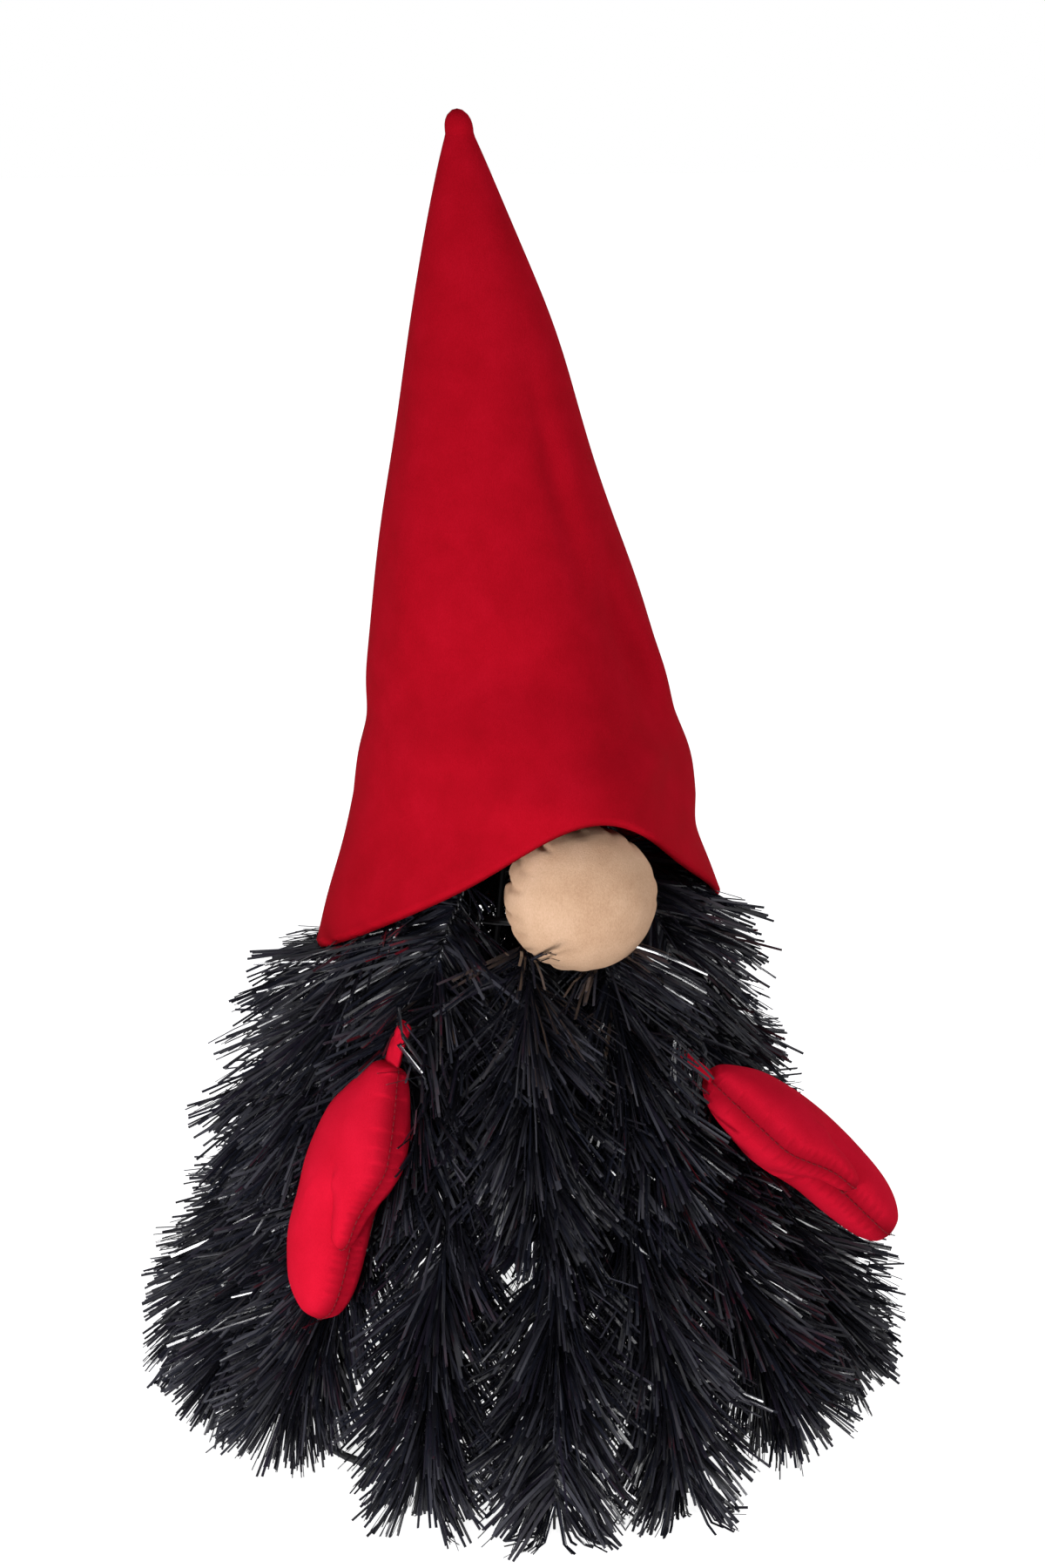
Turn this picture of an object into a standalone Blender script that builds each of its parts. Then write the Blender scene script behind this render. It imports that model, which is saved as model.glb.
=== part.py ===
"""Tomte gnome figurine: a wire cage dressed in bristle branches, with a hat, a nose and two mittens.

Metres, +Z up, the gnome looks along -Y. The origin is the middle of the base, on the floor.
An azimuth is measured from the front, -Y, and is positive towards +X.
"""

import bmesh
import bpy
import numpy as np
from math import cos, pi, radians, sin, tan
from mathutils import Matrix, Vector

GAP = 0.0003

# Wire cage
WIRE_R = 0.002
LEG_COUNT = 4
LEG_FOOT_R = 0.1445
LEG_FOOT_Z = 0.003
LEG_CONE_TOP_Z = 0.44
RING_Z = {"base_ring": WIRE_R, "lower_ring": 0.120, "middle_ring": 0.205, "upper_ring": 0.290,
          "collar_ring": 0.335}
RING_STEPS = 32
TIE_HEIGHT = 0.012
TIE_BAND = 0.001

# Bristle branches
LONG_COUNT = 16
SHORT_COUNT = 12
LONG_TOP_Z, LONG_END_Z = 0.292, 0.004
SHORT_TOP_Z, SHORT_END_Z = 0.338, 0.150
STEM_R = 0.0014
BARE_STEM, BARE_STEM_BELOW_NOSE = 0.16, 0.38
NOSE_SECTOR = radians(30)
BRISTLE_EASE = 0.004
BRISTLE_TOP_Z = 0.275
SWELL, CLOSE = 0.12, 0.10
STEM_POINT = 0.02
TIER_GAP = 0.0005
CAGE_CLEARANCE = 0.001
SECTOR_FILL = 0.92
THINNEST_LAYER = 0.016
FRONT_FULLNESS_Z = (0.20, 0.24, 0.275, 0.29)
FRONT_FULLNESS = (0.0, 0.012, 0.012, 0.0)
FRONT_SECTOR = radians(66.4)
PRESSED_Z = (0.11, 0.18)
PRESSED = (0.033, 0.018)
PRESSED_AZIMUTH, PRESSED_WIDTH = radians(55), radians(34)
SKIRT_Z = (0.00, 0.03, 0.06, 0.10, 0.14, 0.18, 0.22, 0.242, 0.29)
SKIRT_R = (0.207, 0.212, 0.210, 0.196, 0.178, 0.160, 0.144, 0.110, 0.085)
LONG_SHARE_Z = (0.10, 0.15, 0.20, 0.29)
LONG_SHARE = (1.00, 0.66, 0.50, 0.45)

# Hat
HAT_TIP_Z = 0.722
HAT_BRIM_R = 0.1145
HAT_HEIGHT = 0.465
HAT_BULGE_POWER = 0.81
HAT_LEAN_START_Z = 0.35
HAT_LEAN_X = -0.037
BRIM_LOW_Z = 0.250
BRIM_ARCH = 0.085
BRIM_ARCH_POWER = 1.95
BRIM_ARCH_AZIMUTH = radians(5)
BRIM_LIFT = 0.027
BRIM_LIFT_AZIMUTH = radians(1.5)
BRIM_LIFT_WIDTH = radians(23)
NOSE_BULGE = 0.036
NOSE_BULGE_WIDTH = radians(28)
NOSE_BULGE_RISE = 0.075
FELT = 0.003
STUFFING_LOW_Z, STUFFING_HIGH_Z = 0.443, 0.702
STUFFING_EASE = 0.005
STUFFING_SIDE, STUFFING_TIP = 0.85, 0.03

# Nose
NOSE_CENTRE = Vector((0, -0.106, 0.318))
NOSE_R = 0.0395
NOSE_SKIN = 0.002
NOSE_NECK_R = 0.008
NOSE_NECK_LENGTH = 0.004
THREAD_R = 0.0008
THREAD_OFFSET = 0.0022
NOSE_WIRE_X = 0.005
NOSE_WIRE_RISE = 0.022
NOSE_WIRE_START = 0.001

# Mittens
MITTEN_LENGTH = 0.140
MITTEN_DEPTH = 0.019
MITTEN_SKIN = 0.002
MITTEN_FILLING_INSET = 0.0012
MITTEN_FULL_START, MITTEN_FULLNESS = 0.06, 0.6
MITTEN_T = (0.0, 0.02, 0.10, 0.25, 0.42, 0.62, 0.70, 0.85, 0.95, 1.0)
MITTEN_THUMB = (0.000, 0.008, 0.014, 0.021, 0.025, 0.025, 0.020, 0.017, 0.009, -0.003)
MITTEN_OUTER = (0.000, -0.008, -0.018, -0.030, -0.035, -0.031, -0.029, -0.023, -0.014, -0.003)
TAB_SIZE = (0.016, 0.024, 0.003)
TAB_LIFT = 0.005
TAB_TIE_INSET = 0.007
TAB_EDGE = 0.0008
TIE_WIRE_R = 0.0008
TIE_HEAD, TIE_BEND, TIE_DEPTH = 0.004, 0.006, 0.034
TIE_DROP = 0.3
MITTENS = {
    "left": {"seam": Vector((-0.1013, -0.1073, 0.2351)),
             "azimuth": -75, "tilt": 21.2, "swing": 0.7, "thumb_side": 1},
    "right": {"seam": Vector((0.0672, -0.1308, 0.2210)),
              "azimuth": 75, "tilt": 48.9, "swing": 6.2, "thumb_side": -1},
}


def clear_scene():
    for thing in list(bpy.data.objects):
        bpy.data.objects.remove(thing, do_unlink=True)


def new_collection(name):
    collection = bpy.data.collections.new(name)
    bpy.context.scene.collection.children.link(collection)
    return collection


def material(name, colour, roughness, metallic=0.0):
    made = bpy.data.materials.new(name)
    made.use_nodes = True
    shader = made.node_tree.nodes["Principled BSDF"]
    shader.inputs["Base Color"].default_value = (*colour, 1)
    shader.inputs["Roughness"].default_value = roughness
    shader.inputs["Metallic"].default_value = metallic
    return made


def add_object(name, data, mat, collection, parent=None):
    thing = bpy.data.objects.new(name, data)
    data.materials.append(mat)
    collection.objects.link(thing)
    thing.parent = parent
    return thing


def mesh_object(name, bm, mat, collection, parent=None):
    bmesh.ops.recalc_face_normals(bm, faces=bm.faces)
    if bm.calc_volume(signed=True) < 0 and all(edge.is_manifold for edge in bm.edges):
        bmesh.ops.reverse_faces(bm, faces=bm.faces)
    mesh = bpy.data.meshes.new(name)
    bm.to_mesh(mesh)
    bm.free()
    mesh.shade_smooth()
    mesh.set_sharp_from_angle(angle=radians(50))
    return add_object(name, mesh, mat, collection, parent)


def polar(radius, azimuth, z):
    return Vector((radius * sin(azimuth), -radius * cos(azimuth), z))


def turned_from(azimuth, other):
    return (azimuth - other + pi) % (2 * pi) - pi


def wire(name, points, radius, mat, collection):
    curve = bpy.data.curves.new(name, "CURVE")
    curve.dimensions = "3D"
    curve.bevel_depth = radius
    curve.bevel_resolution = 2
    curve.use_fill_caps = True
    spline = curve.splines.new("POLY")
    spline.points.add(len(points) - 1)
    for point, place in zip(spline.points, points):
        point.co = (*place, 1)
    return add_object(name, curve, mat, collection)


def turned(name, profile, mat, collection, steps=RING_STEPS, closed=True):
    """A profile of (radius, height) points turned about the object's Z axis."""
    bm = bmesh.new()
    verts = [bm.verts.new((radius, 0, height)) for radius, height in profile]
    for start, end in zip(verts, verts[1:] + (verts[:1] if closed else [])):
        bm.edges.new((start, end))
    mesh = bpy.data.meshes.new(name)
    bm.to_mesh(mesh)
    bm.free()
    thing = add_object(name, mesh, mat, collection)
    screw = thing.modifiers.new("turn", "SCREW")
    screw.steps = screw.render_steps = steps
    screw.use_merge_vertices = True
    screw.merge_threshold = 0.00005
    screw.use_smooth_shade = True
    return thing


def ball(segments, rings, shape):
    """A sphere whose poles become the two ends of a piece: shape(t, angle) places each point."""
    bm = bmesh.new()
    bmesh.ops.create_uvsphere(bm, u_segments=segments, v_segments=rings, radius=1)
    for vert in bm.verts:
        t = np.arccos(np.clip(vert.co.z, -1, 1)) / pi
        angle = np.arctan2(vert.co.y, vert.co.x)
        vert.co = shape(float(t), float(angle))
    return bm


def cut(thing, cutter):
    boolean = thing.modifiers.new("cut", "BOOLEAN")
    boolean.operation = "DIFFERENCE"
    boolean.solver = "EXACT"
    boolean.object = cutter


# ---- wire cage ----

def leg_radius(z):
    """Distance of a leg's centre line from the axis."""
    slope = (LEG_CONE_TOP_Z - z) / (LEG_CONE_TOP_Z - LEG_FOOT_Z)
    bunched = (WIRE_R + GAP) * 2 ** 0.5
    return max(LEG_FOOT_R * slope, bunched)


def ring_radius(z):
    slant = ((LEG_FOOT_R / (LEG_CONE_TOP_Z - LEG_FOOT_Z)) ** 2 + 1) ** 0.5
    return leg_radius(z) + (2 * WIRE_R + GAP) * slant


def build_cage(mat, collection):
    octagon = [radians(22.5 + 45 * side) for side in range(8)]
    flat = WIRE_R / cos(radians(22.5))
    for name, z in RING_Z.items():
        profile = [(ring_radius(z) + flat * cos(a), z + flat * sin(a)) for a in reversed(octagon)]
        turned(name, profile, mat, collection)
    bunch_z = LEG_CONE_TOP_Z - (WIRE_R + GAP) * 2 ** 0.5 * (LEG_CONE_TOP_Z - LEG_FOOT_Z) / LEG_FOOT_R
    for index in range(LEG_COUNT):
        azimuth = 2 * pi * index / LEG_COUNT
        heights = (LEG_FOOT_Z, bunch_z, bunch_z + TIE_HEIGHT)
        points = [polar(leg_radius(z), azimuth, z) for z in heights]
        wire(f"leg_{index + 1}", points, WIRE_R, mat, collection)
    inner = leg_radius(LEG_CONE_TOP_Z) + WIRE_R + GAP
    low, high = bunch_z + 2 * TIE_BAND, bunch_z + TIE_HEIGHT - TIE_BAND
    band = [(inner + TIE_BAND, high), (inner + TIE_BAND, low), (inner, low), (inner, high)]
    turned("apex_tie", band, mat, collection, steps=16)


# ---- bristle branches ----

def skirt_radius(z, azimuth):
    """Outside of the bristles: fuller under the raised brim, and pressed flat behind the mittens."""
    in_front = cos(azimuth) > cos(FRONT_SECTOR)
    fuller = float(np.interp(z, FRONT_FULLNESS_Z, FRONT_FULLNESS)) * in_front
    beside = abs(abs(turned_from(azimuth, 0)) - PRESSED_AZIMUTH) < PRESSED_WIDTH
    pressed = float(np.interp(z, PRESSED_Z, PRESSED)) if beside else BRISTLE_EASE
    return float(np.interp(z, SKIRT_Z, SKIRT_R)) + fuller - pressed


def bristle_limits(tier, z, azimuth):
    """Inner and outer radius of a branch at a height."""
    inner = ring_radius(z) + WIRE_R + CAGE_CLEARANCE
    outer = max(skirt_radius(z, azimuth), inner + THINNEST_LAYER)
    split = inner + (outer - inner) * float(np.interp(z, LONG_SHARE_Z, LONG_SHARE))
    if tier == "long":
        return inner, split - TIER_GAP
    return split + TIER_GAP, outer


def build_branch(name, tier, azimuth, count, mat, collection):
    top, end = (LONG_TOP_Z, LONG_END_Z) if tier == "long" else (SHORT_TOP_Z, SHORT_END_Z)
    below_nose = tier == "short" and cos(azimuth) > cos(NOSE_SECTOR)
    neck = BARE_STEM_BELOW_NOSE if below_nose else BARE_STEM

    def shape(t, angle):
        z = top + (end - top) * t
        inner, outer = bristle_limits(tier, min(z, BRISTLE_TOP_Z), azimuth)
        body = min(1.0, max(0.0, (t - neck) / SWELL)) * min(1.0, (max(0.0, 1 - t) / CLOSE) ** 0.5)
        middle, depth = (inner + outer) / 2, (outer - inner) / 2
        start = ring_radius(z) + WIRE_R + STEM_R + GAP
        centre = start + (middle - start) * min(1.0, t / (neck + SWELL))
        stem = STEM_R * sin(pi / 2 * min(1, t / STEM_POINT)) if t < neck + STEM_POINT else 0
        depth = max(depth * body, stem)
        width = max(SECTOR_FILL * centre * tan(pi / count) * body, stem)
        radial = Vector((sin(azimuth), -cos(azimuth), 0))
        across = Vector((cos(azimuth), sin(azimuth), 0))
        return radial * (centre + depth * cos(angle)) + across * width * sin(angle) + Vector((0, 0, z))

    return mesh_object(name, ball(8, 10, shape), mat, collection)


def build_branches(mat, collection):
    made = []
    for tier, count in (("long", LONG_COUNT), ("short", SHORT_COUNT)):
        for index in range(count):
            azimuth = 2 * pi * (index + 0.5) / count
            name = f"{tier}_branch_{index + 1:02d}"
            made.append(build_branch(name, tier, azimuth, count, mat, collection))
    return made


# ---- hat ----

def hat_radius(z):
    return HAT_BRIM_R * max(0.0, (HAT_TIP_Z - z) / HAT_HEIGHT) ** HAT_BULGE_POWER


def hat_centre_x(z):
    return HAT_LEAN_X * max(0.0, (z - HAT_LEAN_START_Z) / (HAT_TIP_Z - HAT_LEAN_START_Z))


def brim_height(azimuth):
    """Lower edge of the hat: a broad arch, lifted again over the nose."""
    arch = ((1 + cos(azimuth - BRIM_ARCH_AZIMUTH)) / 2) ** BRIM_ARCH_POWER
    lift = np.exp(-(turned_from(azimuth, BRIM_LIFT_AZIMUTH) / BRIM_LIFT_WIDTH) ** 2)
    return BRIM_LOW_Z + BRIM_ARCH * arch + BRIM_LIFT * lift


def hat_point(azimuth, z, inset=0.0):
    over_nose = np.exp(-(turned_from(azimuth, 0) / NOSE_BULGE_WIDTH) ** 2)
    rise = np.exp(-(max(0.0, z - brim_height(0)) / NOSE_BULGE_RISE) ** 2)
    radius = max(0.0, hat_radius(z) + NOSE_BULGE * over_nose * rise - inset)
    return polar(radius, azimuth, z) + Vector((hat_centre_x(z), 0, 0))


def build_hat(felt, filling, collection, parent):
    around, up = 32, 16
    bm = bmesh.new()
    bmesh.ops.create_grid(bm, x_segments=around, y_segments=up, size=1)
    for vert in bm.verts:
        azimuth = pi * vert.co.x
        rise = (vert.co.y + 1) / 2
        low = brim_height(azimuth)
        vert.co = hat_point(azimuth, low + (HAT_TIP_Z - low) * rise)
    bmesh.ops.remove_doubles(bm, verts=bm.verts, dist=0.0001)
    shell = mesh_object("hat_shell", bm, felt, collection, parent)
    skin = shell.modifiers.new("felt", "SOLIDIFY")
    skin.thickness = FELT
    skin.offset = -1

    def shape(t, angle):
        z = STUFFING_HIGH_Z + (STUFFING_LOW_Z - STUFFING_HIGH_Z) * min(1.0, t / STUFFING_SIDE)
        spread = min(1.0, (1 - t) / (1 - STUFFING_SIDE)) * min(1.0, (t / STUFFING_TIP) ** 0.5)
        radius = (hat_radius(z) - STUFFING_EASE) * spread
        return polar(radius, angle, z) + Vector((hat_centre_x(z), 0, 0))

    mesh_object("hat_stuffing", ball(16, 14, shape), filling, collection, parent)


# ---- nose ----

def build_nose(fleece, filling, thread, steel, collection):
    neck_angle = np.arcsin(NOSE_NECK_R / NOSE_R)
    arc = np.linspace(0, pi - neck_angle, 12)
    profile = [(NOSE_R * sin(a), NOSE_R * cos(a)) for a in arc]
    profile.append((NOSE_NECK_R, -NOSE_R - NOSE_NECK_LENGTH))
    back = Matrix.Translation(NOSE_CENTRE) @ Matrix.Rotation(radians(90), 4, "X")
    cover = turned("nose_cover", profile, fleece, collection, steps=20, closed=False)
    cover.matrix_world = back
    skin = cover.modifiers.new("fleece", "SOLIDIFY")
    skin.thickness = NOSE_SKIN
    skin.offset = -1
    inside = NOSE_R - NOSE_SKIN - 3 * GAP
    filled = ball(14, 10, lambda t, a: Vector((inside * sin(pi * t) * cos(a), inside * cos(pi * t),
                                               inside * sin(pi * t) * sin(a))) + NOSE_CENTRE)
    mesh_object("nose_stuffing", filled, filling, collection)
    hoop = NOSE_NECK_R + GAP + THREAD_R
    loop = [(hoop + THREAD_R * cos(a), THREAD_R * sin(a)) for a in np.linspace(0, -2 * pi, 9)[:-1]]
    gather = turned("nose_thread", loop, thread, collection, steps=16)
    gather.matrix_world = back @ Matrix.Translation((0, 0, -NOSE_R - THREAD_OFFSET))
    start = NOSE_CENTRE + Vector((0, NOSE_R + NOSE_WIRE_START, 0))
    ring_y = -(ring_radius(RING_Z["collar_ring"]) + WIRE_R + TIE_WIRE_R + 2 * GAP)
    hook = Vector((NOSE_WIRE_X, ring_y, NOSE_CENTRE.z))
    route = [start, hook, hook + Vector((0, 0, NOSE_WIRE_RISE))]
    wire("nose_wire", route, TIE_WIRE_R, steel, collection)


# ---- mittens ----

def mitten_frame(side):
    """Matrix whose Y points up the mitten and whose Z points out of the skirt."""
    azimuth, tilt, swing = (radians(side[key]) for key in ("azimuth", "tilt", "swing"))
    out = Vector((sin(azimuth) * cos(tilt), -cos(azimuth) * cos(tilt), sin(tilt)))
    level = Vector((cos(azimuth), sin(azimuth), 0))
    down = level.cross(out)
    if down.z > 0:
        down.negate()
    up = -(down * cos(swing) + level * sin(swing))
    return Matrix((up.cross(out), up, out)).transposed().to_4x4()


def mitten_point(t, angle, thumb_side, inset=0.0):
    thumb = float(np.interp(t, MITTEN_T, MITTEN_THUMB))
    outer = float(np.interp(t, MITTEN_T, MITTEN_OUTER))
    half = max(0.0, (thumb - outer) / 2 - inset)
    along = MITTEN_FULL_START + (1 - MITTEN_FULL_START) * t
    depth = (MITTEN_DEPTH - inset) * max(0.0, sin(pi * along)) ** MITTEN_FULLNESS
    depth = min(depth, half) if t in (0.0, 1.0) else depth
    x = (thumb + outer) / 2 * thumb_side + half * cos(angle)
    y = -inset - (MITTEN_LENGTH - 2 * inset) * t
    return Vector((x, y, depth * sin(angle)))


def build_panel(name, back, thumb_side, felt, collection, parent):
    bm = ball(16, 12, lambda t, angle: mitten_point(t, angle, thumb_side))
    out = Vector((0, 0, -1 if back else 1))
    bmesh.ops.bisect_plane(bm, geom=bm.verts[:] + bm.edges[:] + bm.faces[:], dist=0.00001,
                           plane_co=out * GAP / 2, plane_no=out, clear_inner=True)
    panel = mesh_object(name, bm, felt, collection, parent)
    skin = panel.modifiers.new("felt", "SOLIDIFY")
    skin.thickness = MITTEN_SKIN
    skin.offset = 1
    return panel


def build_channel(name, centre, direction, length, mat, cutters):
    """A round cutter that leaves a gap round a tie wire."""
    bm = bmesh.new()
    radius = TIE_WIRE_R + GAP * 1.5
    bmesh.ops.create_cone(bm, cap_ends=True, segments=12, radius1=radius, radius2=radius, depth=length)
    turn = direction.to_track_quat("Z", "Y").to_matrix().to_4x4()
    bmesh.ops.transform(bm, matrix=Matrix.Translation(centre) @ turn, verts=bm.verts)
    channel = mesh_object(name, bm, mat, cutters)
    channel.hide_render = True
    channel.display_type = "WIRE"
    return channel


def build_mitten(label, side, felt, filling, steel, collection, cutters, branches):
    place = Matrix.Translation(side["seam"]) @ mitten_frame(side)
    hand = bpy.data.objects.new(f"{label}_mitten_hinge", None)
    collection.objects.link(hand)
    hand.matrix_world = place
    thumb_side = side["thumb_side"]
    build_panel(f"{label}_front_panel", False, thumb_side, felt, collection, hand)
    build_panel(f"{label}_back_panel", True, thumb_side, felt, collection, hand)
    bm = ball(14, 10, lambda t, angle: mitten_point(t, angle, thumb_side, MITTEN_FILLING_INSET))
    mesh_object(f"{label}_mitten_stuffing", bm, filling, collection, hand)
    height = TAB_SIZE[1]
    bm = bmesh.new()
    bmesh.ops.create_cube(bm, size=1)
    bmesh.ops.scale(bm, vec=TAB_SIZE, verts=bm.verts)
    bmesh.ops.translate(bm, vec=(0, TAB_LIFT + height / 2, 0), verts=bm.verts)
    tab = mesh_object(f"{label}_tab", bm, felt, collection, hand)
    edge = tab.modifiers.new("edge", "BEVEL")
    edge.width = TAB_EDGE
    edge.segments = 2
    pin = place @ Vector((0, TAB_LIFT + height - TAB_TIE_INSET, 0))
    out = place.to_3x3() @ Vector((0, 0, 1))
    bend = pin - out * TIE_BEND
    inward = Vector((-bend.x, -bend.y, -TIE_DROP * bend.xy.length)).normalized()
    points = [pin + out * TIE_HEAD, bend, bend + inward * TIE_DEPTH]
    wire(f"{label}_tie", points, TIE_WIRE_R, steel, collection)
    cut(tab, build_channel(f"{label}_tab_hole", pin, out, 2 * TIE_BEND, steel, cutters))
    reach = 2 * (TIE_DEPTH + TIE_HEAD)
    channel = build_channel(f"{label}_tie_channel", bend, inward, reach, steel, cutters)
    for branch in branches:
        cut(branch, channel)


def build():
    clear_scene()
    parts = new_collection("tomte_gnome")
    cutters = new_collection("cutters")
    steel = material("black_steel_wire", (0.03, 0.03, 0.032), 0.45, 0.8)
    bristle = material("black_bristle", (0.011, 0.011, 0.014), 0.35)
    red_felt = material("red_felt", (0.50, 0.007, 0.018), 0.95)
    filling = material("polyester_filling", (0.85, 0.85, 0.83), 1.0)
    fleece = material("beige_fleece", (0.60, 0.39, 0.26), 0.95)
    thread = material("beige_thread", (0.55, 0.40, 0.28), 0.8)
    build_cage(steel, parts)
    branches = build_branches(bristle, parts)
    hat = bpy.data.objects.new("hat_lift", None)
    parts.objects.link(hat)
    build_hat(red_felt, filling, parts, hat)
    build_nose(fleece, filling, thread, steel, parts)
    for label, side in MITTENS.items():
        build_mitten(label, side, red_felt, filling, steel, parts, cutters, branches)
    bpy.context.view_layer.update()


build()
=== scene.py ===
"""Looks of the tomte gnome: bristle branches, felt hat, fleece nose and stuffed felt mittens.

Metres, +Z up, the gnome looks along -Y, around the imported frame.
An azimuth is measured from the front, -Y, and is positive towards +X.
"""

from math import cos, pi, radians, sin

import bmesh
import bpy
import numpy as np
from mathutils import Matrix, Vector, noise
from mathutils.geometry import delaunay_2d_cdt


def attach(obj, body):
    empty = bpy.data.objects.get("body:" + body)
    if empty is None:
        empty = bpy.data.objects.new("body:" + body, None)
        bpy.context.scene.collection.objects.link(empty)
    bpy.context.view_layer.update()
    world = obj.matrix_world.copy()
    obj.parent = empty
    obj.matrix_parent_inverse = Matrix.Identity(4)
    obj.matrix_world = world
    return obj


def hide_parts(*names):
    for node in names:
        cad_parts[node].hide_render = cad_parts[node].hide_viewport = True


SEED = 7

# Cage and skirt
LONG_COUNT, SHORT_COUNT = 16, 12
STEM_Z = (0.00, 0.03, 0.06, 0.085, 0.13, 0.185, 0.24, 0.29, 0.31, 0.34)
STEM_REACH = (0.200, 0.189, 0.175, 0.161, 0.140, 0.120, 0.101, 0.080, 0.062, 0.046)
FLAT_SIDE_Z = (0.11, 0.19, 0.26, 0.30)
FLAT_SIDE = (0.0, 0.020, 0.016, 0.004)
FLAT_SIDE_AZIMUTH, FLAT_SIDE_WIDTH = radians(75), radians(42)
LONG_Z, LONG_END_Z = (0.300, 0.275, 0.235, 0.18, 0.12, 0.07), (0.018, 0.048)
LONG_TUCK, LONG_END_TUCK = (0.0, 0.004, 0.010, 0.010, 0.006, 0.002), (-0.004, 0.008)
LONG_TURN_AT = (0, 0.1, 0.25, 0.45, 0.65, 0.85, 1)
SHORT_Z, SHORT_END_Z = (0.338, 0.315, 0.285, 0.245, 0.205), (0.135, 0.175)
SHORT_TUCK = (0.0, -0.004, -0.008, -0.010, -0.012, -0.012)
SHORT_TURN_AT = (0, 0.15, 0.35, 0.55, 0.8, 1)
STEM_WANDER, WANDER_AT_TOP = radians(2.4), 0.4
NEEDLE_LENGTH = 0.062
NEEDLE_WIDTH = 0.0020
NEEDLE_RIDGE = 0.00035
NEEDLES_IN_BUNCH = 5
NEEDLE_POINTS = 5
BUNCHES_PER_LONG, BUNCHES_PER_SHORT = 345, 165
LEAN_AT = (0, 0.5, 0.85, 1.0)
LONG_LEAN, SHORT_LEAN = (60, 50, 46, 34), (66, 55, 46, 28)
FLAT_SIDE_LEAN = 14
LONG_CROWDING, SHORT_CROWDING = 0.70, 0.92
BARE_LONG, BARE_SHORT, BARE_BELOW_NOSE = 0.10, 0.14, 0.32
NOSE_SECTOR = radians(30)
DROOP_LONG, DROOP_SHORT = 0.08, 0.10
WIDEST = 0.2225
FLOOR_CLEARANCE = 0.0012
HAT_ROOM, BRIM_ROOM, DEEPEST_UNDER_HAT = 0.0065, 0.004, 0.035
NOSE_ROOM, DEEPEST_IN_NOSE = 0.0012, 0.007
MITTEN_ROOM, MITTEN_ROOF = 0.003, 0.055
TAB_ROOM = {"half_width": 0.009, "low": 0.004, "high": 0.031, "half_depth": 0.0035}
TAB_COVER_START, TAB_COVER_DEPTH = 0.011, 0.016
STRAYS_OVER_MITTEN = 0.16

# Hat
HAT_TIP_Z = 0.722
HAT_TOP_Z = 0.7192
HAT_BRIM_R = 0.1145
HAT_HEIGHT = 0.465
HAT_BULGE_POWER = 0.81
HAT_TIP_R, HAT_TIP_ROUNDING = 0.0075, 0.010
HAT_LEAN_START_Z = 0.35
HAT_LEAN_X = -0.037
BRIM_LOW_Z = 0.250
BRIM_ARCH = 0.085
BRIM_ARCH_POWER = 1.95
BRIM_ARCH_AZIMUTH = radians(5)
BRIM_LIFT = 0.027
BRIM_LIFT_AZIMUTH = radians(1.5)
BRIM_LIFT_WIDTH = radians(23)
BRIM_FLARE, BRIM_FLARE_RISE = 0.0035, 0.016
NOSE_BULGE = 0.036
NOSE_BULGE_WIDTH = radians(28)
NOSE_BULGE_RISE = 0.075
FELT = 0.0022
HEM_DEPTH = 0.014
SEAM_DIP, SEAM_DIP_WIDTH = 0.0016, 0.022
# width of the painted shade band along the hat's back seam
HAT_SEAM_SHADE_WIDTH = 0.0011
FILLING_LOW_Z, FILLING_HIGH_Z = 0.443, 0.700
FILLING_EASE = 0.008

# Nose
NOSE_CENTRE = Vector((0, -0.106, 0.318))
NOSE_R = 0.0395
NOSE_SHIFT = Vector((0.002, 0, 0.0))
NOSE_GATHERS = 17
GATHER_START = 1.12
GATHER_DEPTH = 0.20

# Mittens
MITTEN_LENGTH = 0.140
MITTEN_DEPTH = 0.021
MITTEN_FULLNESS = 0.38
MITTEN_BEND = 0.006
AIR_STEPS, AIR_CAP = 15, 0.003
AIR_PRESSURE, CLOTH_MASS = 4, 0.3
STRETCH_STIFFNESS, SHEAR_STIFFNESS, BENDING_STIFFNESS = 25, 12, 1.5
# strength of the painted shade along the mitten seam
SEAM_SHADE = 0.62
TAB_WIDTH, TAB_LOW, TAB_HIGH, TAB_FELT = 0.0112, -0.004, 0.0245, 0.0024
MITTENS = {
    "left": {"seam": Vector((-0.1013, -0.1073, 0.2351)),
             "azimuth": -75, "tilt": 21.2, "swing": 0.7, "thumb_side": 1},
    "right": {"seam": Vector((0.0672, -0.1308, 0.2210)),
              "azimuth": 75, "tilt": 48.9, "swing": 6.2, "thumb_side": -1},
}

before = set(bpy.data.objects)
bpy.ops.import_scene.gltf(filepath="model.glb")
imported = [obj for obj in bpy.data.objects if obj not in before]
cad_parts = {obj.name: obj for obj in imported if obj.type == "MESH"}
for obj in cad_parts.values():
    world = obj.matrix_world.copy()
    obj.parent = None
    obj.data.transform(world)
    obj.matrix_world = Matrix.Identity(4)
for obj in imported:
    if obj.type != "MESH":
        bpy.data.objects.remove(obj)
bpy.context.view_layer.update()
rng = np.random.default_rng(SEED)


# ---- helpers ----

def link(thing):
    bpy.context.scene.collection.objects.link(thing)
    return thing


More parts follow.
